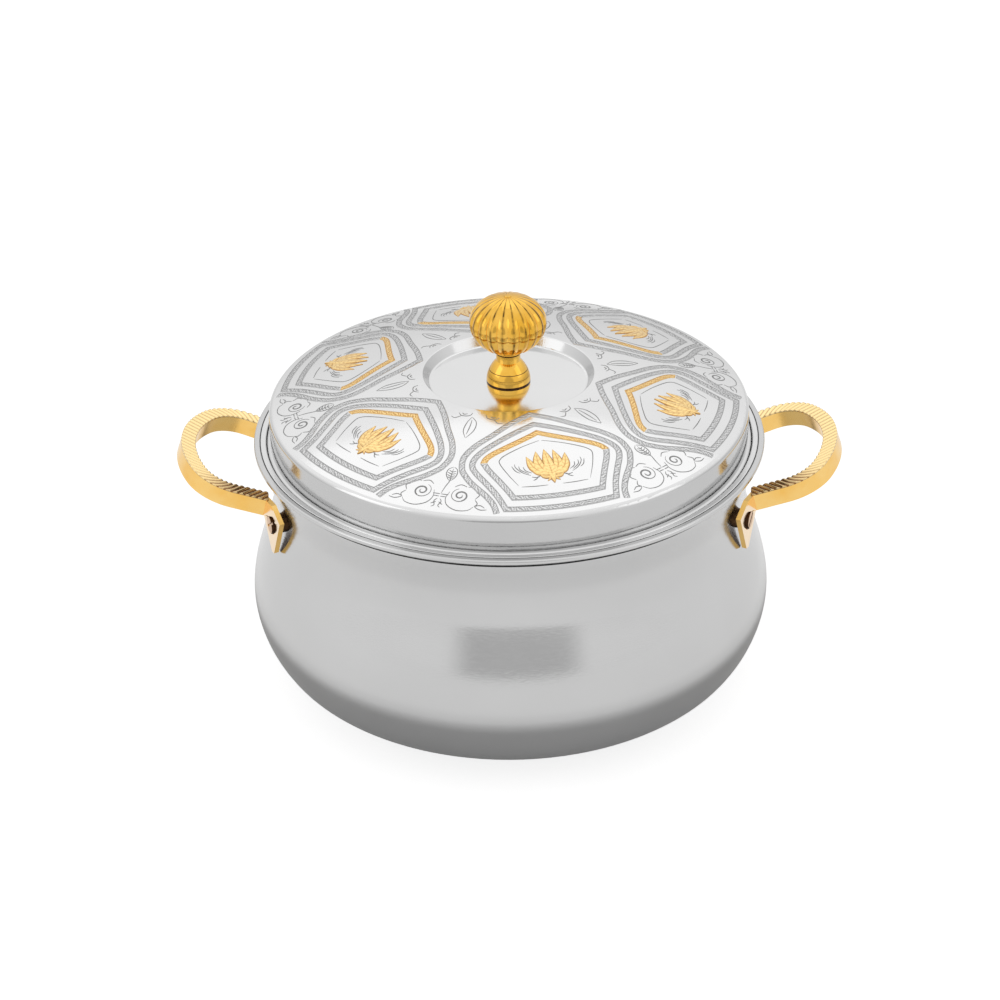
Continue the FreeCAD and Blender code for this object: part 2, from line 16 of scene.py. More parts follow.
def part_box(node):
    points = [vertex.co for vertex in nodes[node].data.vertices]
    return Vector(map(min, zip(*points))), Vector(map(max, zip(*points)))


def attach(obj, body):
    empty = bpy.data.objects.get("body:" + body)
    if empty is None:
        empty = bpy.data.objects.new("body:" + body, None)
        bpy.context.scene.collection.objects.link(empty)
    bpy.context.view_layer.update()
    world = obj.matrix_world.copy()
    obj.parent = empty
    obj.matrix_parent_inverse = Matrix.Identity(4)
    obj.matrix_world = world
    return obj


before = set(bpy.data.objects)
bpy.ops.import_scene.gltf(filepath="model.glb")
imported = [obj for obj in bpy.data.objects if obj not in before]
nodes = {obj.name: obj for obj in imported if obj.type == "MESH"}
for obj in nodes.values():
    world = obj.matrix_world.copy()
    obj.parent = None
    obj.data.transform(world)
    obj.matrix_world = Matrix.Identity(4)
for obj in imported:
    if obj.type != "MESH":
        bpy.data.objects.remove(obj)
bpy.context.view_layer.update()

# %% [markdown]
# Some sizes are needed again and again: the radius of the lid, the height of the lip,
# and so on. They are read from the boxes of the CAD solids, so the dressing follows the
# metal if the metal changes.

# %% Sizes read from the solids
MM = 0.001


def top_of(name):
    """Highest point of a CAD solid, in metres."""
    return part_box(name)[1].z


def reach_of(name):
    """Largest distance of a round CAD solid from the pot's axis, in metres."""
    low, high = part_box(name)
    return max(high.x, -low.x)


RIM_HEIGHT = top_of("outer_shell")
LID_RADIUS = reach_of("lid_cover")
LID_TOP = top_of("lid_cover")
print("rim %.4f m, lid radius %.4f m, lid top %.4f m" % (RIM_HEIGHT, LID_RADIUS, LID_TOP))

# %% [markdown]
# The camera stands a little over a metre away and looks down at the pot, as someone
# does who walks up to a table. A long lens keeps the rim's ellipse calm. The camera is
# turned by a direction and a small roll, so its three axes are worked out as vectors.

# %% Camera
CAMERA_DISTANCE = 1.2
CAMERA_ANGLE = math.radians(31.04)
CAMERA_AIM_HEIGHT = 0.060
CAMERA_PITCH = math.radians(29.90)
CAMERA_YAW = math.radians(-0.26)
CAMERA_ROLL = math.radians(-0.71)
CAMERA_LENS = 89.1
CAMERA_SENSOR = 36.0


def camera_matrix():
    """Axes of a camera from its yaw, pitch and roll: right, up and away from the view."""
    forward = Vector((
        math.sin(CAMERA_YAW) * math.cos(CAMERA_PITCH),
        math.cos(CAMERA_YAW) * math.cos(CAMERA_PITCH),
        -math.sin(CAMERA_PITCH),
    ))
    level = forward.cross(Vector((0, 0, 1))).normalized()
    upright = level.cross(forward)
    right = level * math.cos(CAMERA_ROLL) + upright * math.sin(CAMERA_ROLL)
    up = upright * math.cos(CAMERA_ROLL) - level * math.sin(CAMERA_ROLL)
    place = Vector((
        0,
        -CAMERA_DISTANCE * math.cos(CAMERA_ANGLE),
        CAMERA_AIM_HEIGHT + CAMERA_DISTANCE * math.sin(CAMERA_ANGLE),
    ))
    matrix = Matrix((right, up, -forward)).transposed().to_4x4()
    matrix.translation = place
    return matrix


scene = bpy.context.scene
camera_data = bpy.data.cameras.new("camera")
camera_data.lens = CAMERA_LENS
camera_data.sensor_width = CAMERA_SENSOR
camera = bpy.data.objects.new("camera", camera_data)
scene.collection.objects.link(camera)
camera.matrix_world = camera_matrix()
scene.camera = camera
print("camera at", tuple(round(v, 3) for v in camera.location))

# %% [markdown]
# Materials are small graphs of nodes. Writing each link by hand is long, so this helper
# keeps a graph and its output together: `add` makes a node and sets its plain values,
# and `wire` joins two sockets. The other methods take up what the materials share. A
# value on its way from one node to the next is a pair: the node and its socket.


# %% A helper for node graphs
class Graph:
    """A material's nodes, with short names for making and joining them."""

    def __init__(self, name, tree=None, output="ShaderNodeOutputMaterial"):
        if tree is None:
            self.material = bpy.data.materials.new(name)
            self.material.use_nodes = True
            tree = self.material.node_tree
        self.tree = tree
        self.tree.nodes.clear()
        self.output = self.add(output)

    def add(self, kind, settings=None, **values):
        node = self.tree.nodes.new(kind)
        for key, value in (settings or {}).items():
            setattr(node, key, value)
        for key, value in values.items():
            name = key.replace("_", " ")
            node.inputs[name].default_value = value
        return node

    def wire(self, source, target, socket_out=0, socket_in=0):
        self.tree.links.new(source.outputs[socket_out], target.inputs[socket_in])
        return target

    def feed(self, node, place, value):
        """Give an input a plain value, or wire it to a (node, socket) pair."""
        if isinstance(value, tuple) and isinstance(value[0], bpy.types.Node):
            self.wire(value[0], node, value[1], place)
        else:
            node.inputs[place].default_value = value

    def math(self, operation, first, second=None):
        """A Math node fed by pairs or plain numbers."""
        node = self.add("ShaderNodeMath", {"operation": operation})
        self.feed(node, 0, first)
        if second is not None:
            self.feed(node, 1, second)
        return node, 0

    def blend(self, factor, first, second, kind="MIX"):
        """A colour between first and second; the colour sockets of a Mix node are 6 and 7."""
        node = self.add("ShaderNodeMix", {"data_type": "RGBA", "blend_type": kind})
        for place, value in ((0, factor), (6, first), (7, second)):
            self.feed(node, place, value)
        return node, 2

    def ramp(self, source, stops):
        """A colour ramp from (place, colour) stops."""
        node = self.add("ShaderNodeValToRGB")
        elements = node.color_ramp.elements
        elements[0].position, elements[0].color = stops[0][0], stops[0][1]
        elements[1].position, elements[1].color = stops[-1][0], stops[-1][1]
        for place, colour in stops[1:-1]:
            elements.new(place).color = colour
        self.feed(node, 0, source)
        return node, 0

    def noise(self, source, scale, detail, roughness):
        """Noise between 0 and 1 over the source's places."""
        node = self.add("ShaderNodeTexNoise", Scale=scale, Detail=detail, Roughness=roughness)
        self.feed(node, "Vector", source)
        return node, 0

    def from_axis(self, split):
        """Distance from the Z axis: the root of x^2 + y^2."""
        squares = [self.math("POWER", (split, axis), 2.0) for axis in (0, 1)]
        return self.math("SQRT", self.math("ADD", *squares))

    def direct(self, path):
        """1 for a ray that comes straight from the camera, or through something clear."""
        return self.math("MAXIMUM", (path, "Is Camera Ray"), (path, "Is Transmission Ray"))

    def roughen(self, shader, source, smooth, rough, low=0.3, high=0.7):
        """Roughness from smooth to rough while the source goes from low to high."""
        spread = self.add("ShaderNodeMapRange", To_Min=smooth, To_Max=rough,
                          From_Min=low, From_Max=high)
        self.feed(spread, "Value", source)
        self.wire(spread, shader, 0, "Roughness")

    def emboss(self, shader, source, strength, depth):
        """A bump on the shader's normal, as deep as that in metres where the source is 1."""
        bump = self.add("ShaderNodeBump", Strength=strength, Distance=depth)
        self.feed(bump, "Height", source)
        self.wire(bump, shader, 0, "Normal")

    def surface(self, shader):
        self.wire(shader, self.output, 0, "Surface")
        return self.material


def grey(value):
    return (value, value, value, 1.0)


# %% [markdown]
# Pressed and spun steel is polished on a turning spindle, so its fine scratches run
# round the pot and hardly change along the way. The pattern is a noise whose input is
# the place round the axis, slowed down, beside the radius and the height, speeded up.
# The same noise makes the roughness uneven and the colour a little cloudy. Upright walls
# can be given painted shade: their colour is darkened by the Z part of the surface's own normal.


# %% Polished steel
AROUND_SHARE = 0.05
SCRATCH_NOISE = (900.0, 4.0, 0.7)
SCRATCH_DEPTH = 0.0001
STEEL_CLOUD = (18.0, 3.0, 0.5)


def spun_steel(name, bright, dull, smooth, rough, scratch, anisotropy, upright=1.0):
    """Steel with scratches round the Z axis: noise of (angle, radius, height).
    Upright walls keep only that share of the brightness, as painted shade."""
    g = Graph(name)
    place = g.add("ShaderNodeTexCoord")
    split = g.wire(place, g.add("ShaderNodeSeparateXYZ"), "Object")
    angle = g.math("ARCTAN2", (split, 1), (split, 0))
    around = g.math("MULTIPLY", angle, AROUND_SHARE)
    spun = g.add("ShaderNodeCombineXYZ")
    for axis, source in enumerate((around, g.from_axis(split), (split, 2))):
        g.feed(spun, axis, source)
    fine = g.noise((spun, 0), *SCRATCH_NOISE)
    cloud = g.noise((place, "Object"), *STEEL_CLOUD)
    shader = g.add("ShaderNodeBsdfPrincipled", Metallic=1.0, Anisotropic=anisotropy)
    colour = g.ramp(cloud, [(0.3, grey(dull)), (0.7, grey(bright))])
    normal = g.wire(place, g.add("ShaderNodeSeparateXYZ"), "Normal")
    level = g.math("ABSOLUTE", (normal, 2))
    # Upright walls get a darker colour: painted shade.
    share = g.ramp(level, [(0.45, grey(upright)), (0.8, grey(1.0))])
    g.feed(shader, "Base Color", g.blend(1.0, colour, share, "MULTIPLY"))
    mixed = g.math("ADD", g.math("MULTIPLY", fine, 0.6), g.math("MULTIPLY", cloud, 0.4))
    g.roughen(shader, mixed, smooth, rough)
    g.emboss(shader, fine, scratch, SCRATCH_DEPTH)
    tangent = g.add("ShaderNodeTangent", {"direction_type": "RADIAL", "axis": "Z"})
    g.wire(tangent, shader, 0, "Tangent")
    return g.surface(shader)


body_steel = spun_steel("body_steel", bright=0.63, dull=0.60, smooth=0.09, rough=0.20,
                        scratch=0.25, anisotropy=0.4)
lid_steel = spun_steel("lid_steel", bright=0.79, dull=0.75, smooth=0.07, rough=0.16,
                       scratch=0.15, anisotropy=0.2, upright=0.76)
inner_steel = spun_steel("inner_steel", bright=0.76, dull=0.72, smooth=0.16, rough=0.30,
                         scratch=0.35, anisotropy=0.4)
print("steel finishes:", body_steel.name, lid_steel.name, inner_steel.name)

# %% [markdown]
# The handles, the knob and their spacers are castings with a thin coat of gold-coloured
# plating over them. The plating is smooth but never quite flat, so it has a slow bump
# and its colour drifts between a pale and a deeper gold. A dark brown is painted in some
# places. On the backs of the feet it is partly dull casting and partly painted shade of
# the narrow gap against the wall. Round the screw heads and between the lobes of the knob
# it is painted shade and painted dark reflection. A few fine rings of the stem are darker
# too. The spacers are painted near black, as painted shade of that gap, and the fronts of
# the feet are painted paler, as a painted highlight. Masks find all these places: by the
# dot product of the surface's own normal with the direction away from the pot's axis, by
# the height, or by the bearing round the axis times the number of lobes.


# %% Masks for the darker and paler places
LOOKS_IN = -0.8
LOOKS_OUT = 0.9
FOOT_BACK_REACH = 0.119
FOOT_FRONT_REACH = 0.1215


def away_from_axis(g, place):
    """Dot of the object-space normal with the unit vector from the Z axis, and the distance."""
    flat = g.add("ShaderNodeVectorMath", {"operation": "MULTIPLY"})
    g.wire(place, flat, "Object", 0)
    flat.inputs[1].default_value = (1.0, 1.0, 0.0)
    distance = g.add("ShaderNodeVectorMath", {"operation": "LENGTH"})
    g.wire(flat, distance)
    unit = g.wire(flat, g.add("ShaderNodeVectorMath", {"operation": "NORMALIZE"}))
    dot = g.add("ShaderNodeVectorMath", {"operation": "DOT_PRODUCT"})
    g.wire(unit, dot, 0, 0)
    g.wire(place, dot, "Normal", 1)
    return (dot, "Value"), (distance, "Value")


def foot_back_shade(g, place):
    """1 on faces that look at the pot's wall from close by, else 0; they get painted shade."""
    facing, distance = away_from_axis(g, place)
    inward = g.math("LESS_THAN", facing, LOOKS_IN)
    near = g.math("LESS_THAN", distance, FOOT_BACK_REACH)
    return g.math("MULTIPLY", inward, near)


def foot_front_highlight(g, place):
    """1 on the feet's outer faces, which get a painted highlight, else 0."""
    facing, distance = away_from_axis(g, place)
    outward = g.math("GREATER_THAN", facing, LOOKS_OUT)
    near = g.math("LESS_THAN", distance, FOOT_FRONT_REACH)
    return g.math("MULTIPLY", outward, near)


def screw_head_shade(g, place):
    """1 where a face doesn't look straight away from the pot: a screw's edge and slot, which get
    painted shade.
    """
    facing, _ = away_from_axis(g, place)
    return g.math("LESS_THAN", facing, LOOKS_OUT)


STEM_HEIGHT = 15.8
STEM_RINGS = [(0.35, 0.35), (3.4, 0.08), (6.2, 0.14), (14.4, 0.25)]


def turned_rings(g, place):
    """1 in fine cuts round the stem, each given by height above its foot and half width."""
    split = g.wire(place, g.add("ShaderNodeSeparateXYZ"), "Object")
    foot = top_of("knob_stem") - STEM_HEIGHT * MM
    mask = None
    for rise, half_width in STEM_RINGS:
        off = g.math("ABSOLUTE", g.math("SUBTRACT", (split, 2), foot + rise * MM))
        cut = g.math("LESS_THAN", off, half_width * MM)
        mask = g.math("MAXIMUM", mask, cut) if mask else cut
    return mask


LOBES = 20
FURROW_POWER = 9.0


def furrow_shade(g, place):
    """Near 1 between the lobes: (1 - cos(LOBES x bearing)) / 2 to a high power, and patchy;
    there painted shade and painted dark reflection go.
    """
    split = g.wire(place, g.add("ShaderNodeSeparateXYZ"), "Object")
    bearing = g.math("ARCTAN2", (split, 1), (split, 0))
    wave = g.math("COSINE", g.math("MULTIPLY", bearing, float(LOBES)))
    share = g.math("MULTIPLY", g.math("SUBTRACT", 1.0, wave), 0.5)
    patches = g.noise((place, "Object"), 180.0, 3.0, 0.6)
    patchy = g.ramp(patches, [(0.40, grey(0.25)), (0.60, grey(1.0))])
    return g.math("MULTIPLY", g.math("POWER", share, FURROW_POWER), patchy)


# %% Gilt castings
# Dark brown: mostly painted shade and painted dark reflection, partly dull casting on the feet's
# backs.
PATINA_AND_SHADE = (0.05, 0.024, 0.012, 1.0)
PALE_GOLD = (1.0, 0.68, 0.25, 1.0)
DEEP_GOLD = (0.96, 0.56, 0.13, 1.0)
KNOB_PALE = (1.0, 0.62, 0.14, 1.0)
KNOB_DEEP = (0.80, 0.42, 0.04, 1.0)
# Pale gold of the feet's outer faces: a painted highlight.
FOOT_HIGHLIGHT = (1.0, 0.80, 0.58, 1.0)
PLATING_CLOUD = (60.0, 3.0, 0.55)
PLATING_WAVES = (220.0, 2.0, 0.5)
WAVE_DEPTH = 0.0003


def gilt(name, pale, deep, smooth, rough, wave, places=()):
    """Plated gold: cloudy colour and slow waves, with another colour in each masked place."""
    g = Graph(name)
    place = g.add("ShaderNodeTexCoord")
    cloud = g.noise((place, "Object"), *PLATING_CLOUD)
    slow = g.noise((place, "Object"), *PLATING_WAVES)
    shader = g.add("ShaderNodeBsdfPrincipled", Metallic=1.0)
    colour = g.ramp(cloud, [(0.3, deep), (0.68, pale)])
    for masked, tint in places:
        colour = g.blend(masked(g, place), colour, tint)
    g.feed(shader, "Base Color", colour)
    g.roughen(shader, slow, smooth, rough)
    g.emboss(shader, slow, wave, WAVE_DEPTH)
    return g.surface(shader)


handle_gold = gilt("handle_gold", PALE_GOLD, DEEP_GOLD, smooth=0.10, rough=0.20, wave=0.15,
                   places=[(foot_back_shade, PATINA_AND_SHADE), (foot_front_highlight, FOOT_HIGHLIGHT)])
stem_gold = gilt("stem_gold", KNOB_PALE, KNOB_DEEP, smooth=0.06, rough=0.14, wave=0.12,
                 places=[(turned_rings, PATINA_AND_SHADE)])
ball_gold = gilt("ball_gold", KNOB_PALE, KNOB_DEEP, smooth=0.06, rough=0.14, wave=0.12,
                 places=[(furrow_shade, PATINA_AND_SHADE)])
screw_gold = gilt("screw_gold", (0.80, 0.52, 0.30, 1.0), (0.50, 0.30, 0.16, 1.0),
                  smooth=0.20, rough=0.35, wave=0.3, places=[(screw_head_shade, PATINA_AND_SHADE)])
# The spacers are painted near black: painted shade of the gap behind the feet.
spacer_shade = gilt("spacer_shade", (0.16, 0.09, 0.04, 1.0), PATINA_AND_SHADE,
                   smooth=0.25, rough=0.45, wave=0.3)
fastener_steel = gilt("fastener_steel", grey(0.55), grey(0.42),
                      smooth=0.30, rough=0.45, wave=0.3)
print("gilt finishes:", handle_gold.name, ball_gold.name, screw_gold.name)


# %% [markdown]
# Nobody sees the foam between the two walls or the plug in the base, but both are real
# pieces, so they get a finish too: cut foam is pale, matt and full of small cells, and
# the plug is plain dark plastic with a fine grain.


# %% Foam and plug
CELL_DEPTH = 0.0004


def matt(name, light, dark, scale, depth):
    """Matt stuff with a cell or grain pattern: Voronoi distance drives colour and bump."""
    g = Graph(name)
    place = g.add("ShaderNodeTexCoord")
    cells = g.add("ShaderNodeTexVoronoi", Scale=scale)
    g.wire(place, cells, "Object", "Vector")
    shader = g.add("ShaderNodeBsdfPrincipled", Roughness=0.9)
    g.feed(shader, "Base Color", g.ramp((cells, 0), [(0.0, dark), (0.6, light)]))
    g.emboss(shader, (cells, 0), depth, CELL_DEPTH)
    return g.surface(shader)


foam = matt("foam", (0.86, 0.78, 0.55, 1.0), (0.62, 0.52, 0.32, 1.0), scale=700.0, depth=0.6)
plug_plastic = matt("plug_plastic", grey(0.05), grey(0.03), scale=1500.0, depth=0.2)


# %% Finishes put on the CAD solids
def dress(material, *names):
    for name in names:
        slots = nodes[name].data.materials
        slots.clear()
        slots.append(material)


dress(body_steel, "outer_shell")
dress(lid_steel, "lid_cover")
dress(inner_steel, "inner_bowl", "lid_liner", "base_cover")
dress(foam, "body_insulation", "lid_insulation")
dress(plug_plastic, "filler_plug")
dress(stem_gold, "knob_stem")
dress(ball_gold, "knob_ball")
for side in ("right", "left"):
    dress(handle_gold, "handle_" + side)
    dress(spacer_shade, "handle_spacers_" + side)
    dress(screw_gold, "handle_screws_" + side)
    dress(fastener_steel, "handle_nuts_" + side, "handle_washers_" + side)
dress(fastener_steel, "knob_screw", "knob_washer")
print("dressed", len(nodes), "solids")

# %% [markdown]
# The lid carries six engraved medallions, each framed by three bands and holding a gilt
# lotus. On the real lid a graver cut them; here each cut or inlaid part is a low closed
# piece that lies on the dome. Carving the whole dome would need millions of faces, while
# these pieces put fine faces only where something is to be seen. Every piece is drawn
# once in a flat plan, with u outwards from the lid's middle and w to the side, and is
# then bent onto the dome six times.

# %% Plan of a medallion, bent onto the dome
MEDALLIONS = 6
MEDALLION_BEARING = math.radians(-77.5)
DOME_RADIUS = 386.0
DOME_RISE = 32.7
DOME_CENTRE = RIM_HEIGHT / MM + DOME_RISE - DOME_RADIUS
SUNK = -0.12
BEARINGS = MEDALLION_BEARING + np.arange(MEDALLIONS) * (2 * math.pi / MEDALLIONS)
BAND_STEP = 0.3
SPAN_POINTS = 16


def on_dome(plan, lift, bearings=BEARINGS):
    """Plan points (u, w) in millimetres turned to each bearing, at the sphere's height
    plus the lift."""
    turn = np.reshape(bearings, (-1,) + (1,) * (plan.ndim - 1))
    u, w = plan[..., 0], plan[..., 1]
    x = u * np.cos(turn) - w * np.sin(turn)
    y = u * np.sin(turn) + w * np.cos(turn)
    z = DOME_CENTRE + np.sqrt(DOME_RADIUS ** 2 - x ** 2 - y ** 2) + lift
    return np.stack([x, y, z], axis=-1) * MM


def curve(points, step=BAND_STEP):
    """Smooth line through points: each span is the Catmull-Rom cubic, whose slope at a point
    is half the way between its neighbours; then points at even steps of arc length."""
    p = np.asarray(points, float)
    p = np.vstack([2 * p[0] - p[1], p, 2 * p[-1] - p[-2]])
    t = np.linspace(0, 1, SPAN_POINTS, endpoint=False)[None, :, None]
    a, b, c, d = (q[:, None, :] for q in (p[:-3], p[1:-2], p[2:-1], p[3:]))
    dense = (b + (c - a) / 2 * t + (a - 2.5 * b + 2 * c - d / 2) * t ** 2
             + (1.5 * (b - c) + (d - a) / 2) * t ** 3)
    dense = np.vstack([dense.reshape(-1, p.shape[1]), p[-2:-1]])
    along = np.append(0, np.cumsum(np.linalg.norm(np.diff(dense, axis=0), axis=1)))
    even = np.linspace(0, along[-1], max(4, int(along[-1] / step) + 2))
    return np.stack([np.interp(even, along, dense[:, k]) for k in range(p.shape[1])], axis=-1)


def arc_length(path):
    """Distance along a line of points, from its start."""
    return np.append(0, np.cumsum(np.linalg.norm(np.diff(path, axis=0), axis=1)))


def sideways(path):
    """Unit vectors square to a line, to the left of its direction."""
    slope = np.gradient(path, axis=0)
    slope /= np.linalg.norm(slope, axis=1, keepdims=True)
    return np.stack([-slope[:, 1], slope[:, 0]], axis=-1)


print("dome of radius", DOME_RADIUS, "mm, centre at", round(DOME_CENTRE, 2), "mm")

# %% [markdown]
# All these pieces are tubes: rows of points run along a line, and each row closes round
# the line, over the top and back underneath, inside the metal. One function turns such
# grids into a mesh. Its faces come from index arithmetic on whole arrays, and the sign
# of the enclosed volume tells whether they face outwards. A number at each point, the
# recess, says how deep the graver went, and the materials read it.

# %% Grids of points to one closed mesh
import bmesh

RECESS = "recess"


def tube_faces(rows, columns, looped, start):
    """Quads of a grid whose columns wrap round, and whose rows wrap too if it is looped."""
    index = start + np.arange(rows * columns).reshape(rows, columns)
    here = index if looped else index[:-1]
    ahead = np.roll(index, -1, axis=0) if looped else index[1:]
    corners = [here, np.roll(here, -1, axis=1), np.roll(ahead, -1, axis=1), ahead]
    return np.stack(corners, axis=-1).reshape(-1, 4)


def signed_volume(points, quads):
    """Sum over triangles of (a x b) . c / 6: positive when the faces look outwards."""
    a, b, c, d = (points[quads[:, k]] for k in range(4))
    first = np.einsum("ij,ij->i", np.cross(a, b), c)
    second = np.einsum("ij,ij->i", np.cross(a, c), d)
    return (first + second).sum() / 6


def tube_piece(name, tubes, material, body):
    """One object from closed tubes, each (points, recess, looped); points are in metres."""
    points, marks, quads, start = [], [], [], 0
    for grid, recess, looped in tubes:
        faces = tube_faces(grid.shape[0], grid.shape[1], looped, start)
        flat = grid.reshape(-1, 3)
        if signed_volume(flat - flat.mean(axis=0), faces - start) < 0:
            faces = faces[:, ::-1]
        points.append(flat)
        marks.append(np.broadcast_to(recess, grid.shape[:2]).reshape(-1))
        quads.append(faces)
        start += len(flat)
    points, quads = np.concatenate(points), np.concatenate(quads)
    mesh = bpy.data.meshes.new(name)
    mesh.vertices.add(len(points))
    mesh.vertices.foreach_set("co", points.ravel())
    mesh.loops.add(quads.size)
    mesh.loops.foreach_set("vertex_index", quads.ravel())
    mesh.polygons.add(len(quads))
    mesh.polygons.foreach_set("loop_start", np.arange(0, quads.size, 4))
    mesh.update(calc_edges=True)
    mark = mesh.attributes.new(RECESS, "FLOAT", "POINT")
    mark.data.foreach_set("value", np.concatenate(marks))
    weld = bmesh.new()
    weld.from_mesh(mesh)
    bmesh.ops.remove_doubles(weld, verts=weld.verts, dist=1e-7)
    weld.to_mesh(mesh)
    weld.free()
    mesh.polygons.foreach_set("use_smooth", np.ones(len(mesh.polygons), bool))
    mesh.materials.append(material)
    piece = bpy.data.objects.new(name, mesh)
    scene.collection.objects.link(piece)
    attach(piece, body)
    print("%s: %d faces" % (name, len(mesh.polygons)))
    return piece


# %% [markdown]
# A ribbon is such a tube between two edge lines. Its top is a small landscape, given as
# a lift and a recess for each place along and across, and both sides drop into the
# metal. Where a ribbon ends, its last row shrinks to a point inside the metal.

# %% Ribbons on the dome
def ribbon(left, right, lift, recess, looped=False, place=on_dome):
    """Tubes between two lines: across runs from left to right, the sides and the underside
    lie at the sunk level, and the ends of an open ribbon close in a point."""
    share = np.linspace(0, 1, lift.shape[1])[None, :, None]
    plan = left[:, None] * (1 - share) + right[:, None] * share
    plan = np.concatenate([plan[:, :1], plan, plan[:, -1:]], axis=1)
    height = np.pad(lift, ((0, 0), (1, 1)), constant_values=SUNK)
    mark = np.pad(recess, ((0, 0), (1, 1)), mode="edge")
    if not looped:
        for end in (0, -1):
            plan[end] = plan[end].mean(axis=0)
            height[end] = SUNK
    return [(grid, mark, looped) for grid in place(plan, height)]


def smooth_step(value, low, high):
    """0 below low, 1 above high, and 3t^2 - 2t^3 between."""
    t = np.clip((value - low) / (high - low), 0, 1)
    return t * t * (3 - 2 * t)


# %% [markdown]
# The bands are stippled with a wriggling cut between two border lines. The wriggle is a
# sum of two sine waves whose own phases swing along the band, so it looks done by hand
# and never repeats exactly. All lengths are in millimetres.

# %% The stippled cut
BAND_LIFT = 0.17
BAND_DEPTH = 0.12
BAND_COLUMNS = 17
BORDER = 0.085
WAVES = [
    {"length": 1.6, "swing": 2.2, "swing_length": 5.3, "slant": 1.9},
    {"length": 1.05, "swing": 1.8, "swing_length": 3.1, "slant": -2.6},
]


def wriggle(along, across, seed):
    """Cut depth 0 to 1: a border line near each edge, and between them where
    sin(a + 2.2 sin(b)) + 0.9 sin(c + 1.8 sin(d)) is high."""
    swing = np.random.default_rng(seed).uniform(0, 2 * math.pi, 4)
    turn = 2 * math.pi * along[:, None]
    side = math.pi * (2 * across[None, :] - 1)
    sines = []
    for wave, (start, shift) in zip(WAVES, swing.reshape(2, 2)):
        swung = wave["swing"] * np.sin(turn / wave["swing_length"] + start)
        sines.append(np.sin(turn / wave["length"] + swung + wave["slant"] * side + shift))
    first, second = sines
    stipple = smooth_step(first + 0.9 * second, -0.15, 0.35)
    edge = np.minimum(across, 1 - across)[None, :]
    border = 1 - smooth_step(np.abs(edge - BORDER), 0.04, 0.09)
    inside = smooth_step(edge, BORDER + 0.03, BORDER + 0.10)
    return np.maximum(border, stipple * inside)


def cut_ribbon(outer, inner, seed, looped=False):
    """A stippled band between two lines."""
    across = np.linspace(0, 1, BAND_COLUMNS)
    depth = wriggle(arc_length(outer), across, seed)
    return ribbon(outer, inner, BAND_LIFT - BAND_DEPTH * depth, depth, looped)


# %% [markdown]
# A band turns sharp corners at its shoulders. If each stretch between two corners were
# simply moved inwards, its end would overshoot the corner, so the inner line of a stretch
# is shortened at both ends by width x tan(half the turn), as a joiner cuts a mitre.

# %% Mitred bands round a medallion
def mitred(stretches, width, closed):
    """Outer and inner line of a band from its outer stretches, each shortened to the mitre."""
    headings = []
    for path in stretches:
        ends = path[1] - path[0], path[-1] - path[-2]
        headings.append([math.atan2(v[1], v[0]) for v in ends])
    count = len(stretches)
    outer, inner = [], []
    for k, path in enumerate(stretches):
        neighbours = headings[k - 1][1], headings[(k + 1) % count][0]
        trim = []
        for neighbour, own in zip(neighbours, headings[k]):
            turn = abs(math.remainder(own - neighbour, 2 * math.pi))
            trim.append(width * math.tan(turn / 2))
        if not closed and k == 0:
            trim[0] = 0.0
        if not closed and k == count - 1:
            trim[1] = 0.0
        along = arc_length(path)
        moved = path + sideways(path) * width
        short = trim[0] + along / along[-1] * (along[-1] - trim[0] - trim[1])
        line = np.stack([np.interp(short, along, moved[:, axis]) for axis in (0, 1)], axis=-1)
        outer.append(path)
        inner.append(line)
    return outer, inner


def rim_arc(corner):
    """Arc about the lid's middle, from the mirror image of a corner to the corner."""
    radius = math.hypot(*corner)
    half_turn = math.atan2(corner[1], corner[0])
    turn = np.linspace(-half_turn, half_turn, int(2 * half_turn * radius / BAND_STEP))
    return np.stack([radius * np.cos(turn), radius * np.sin(turn)], axis=-1)


def round_trip(half, closed=True):
    """An outline from half of it: back along that half to the tip and on down its mirror
    image, then along the rim's arc if it is closed; the inside lies on the left."""
    sides = [curve(points) for points in half]
    back = [path[::-1] for path in sides[::-1]]
    down = [path * (1, -1) for path in sides]
    return back + down + ([rim_arc(half[-1][-1])] if closed else [])


def joined(lines):
    """Lines end to end as one, each corner kept once."""
    return np.concatenate([lines[0]] + [line[1:] for line in lines[1:]])


BAND_WIDTH = 2.9
INNER_TOP = [(55.9, 0), (58.2, 4), (61.2, 10.2), (64.2, 17), (66.9, 23), (69.6, 27), (73, 29.4)]
INNER_SIDE = [(73, 29.4), (79, 28), (87, 25), (94, 22.5), (98.8, 21)]
MIDDLE_SIDE = [(49.6, 0), (54.3, 9.8), (58.7, 18.3), (63.6, 26.5), (68, 31.7), (73, 34.4),
               (78.5, 34.0), (86, 31.2), (94, 28.3), (100, 26.8), (104.4, 26)]
OUTER_SIDE = [(41.9, 0), (45.2, 6.6), (48.8, 12.8), (54, 20.5), (60, 30.2), (66.5, 36.7),
              (74, 39.2), (79, 38.8), (85.4, 36.9), (93.5, 32.9), (99.5, 30.8), (104.9, 30.5)]

# %% [markdown]
# Two metals are needed for the ornament: bright steel and gilt, both with a darker
# ground where the graver went. The recess at each point drives the colour and the
# roughness, and a little noise keeps the cuts from looking printed. The same graph gives
# the chased gold of the handles and the near-black painted shade round the mouth.


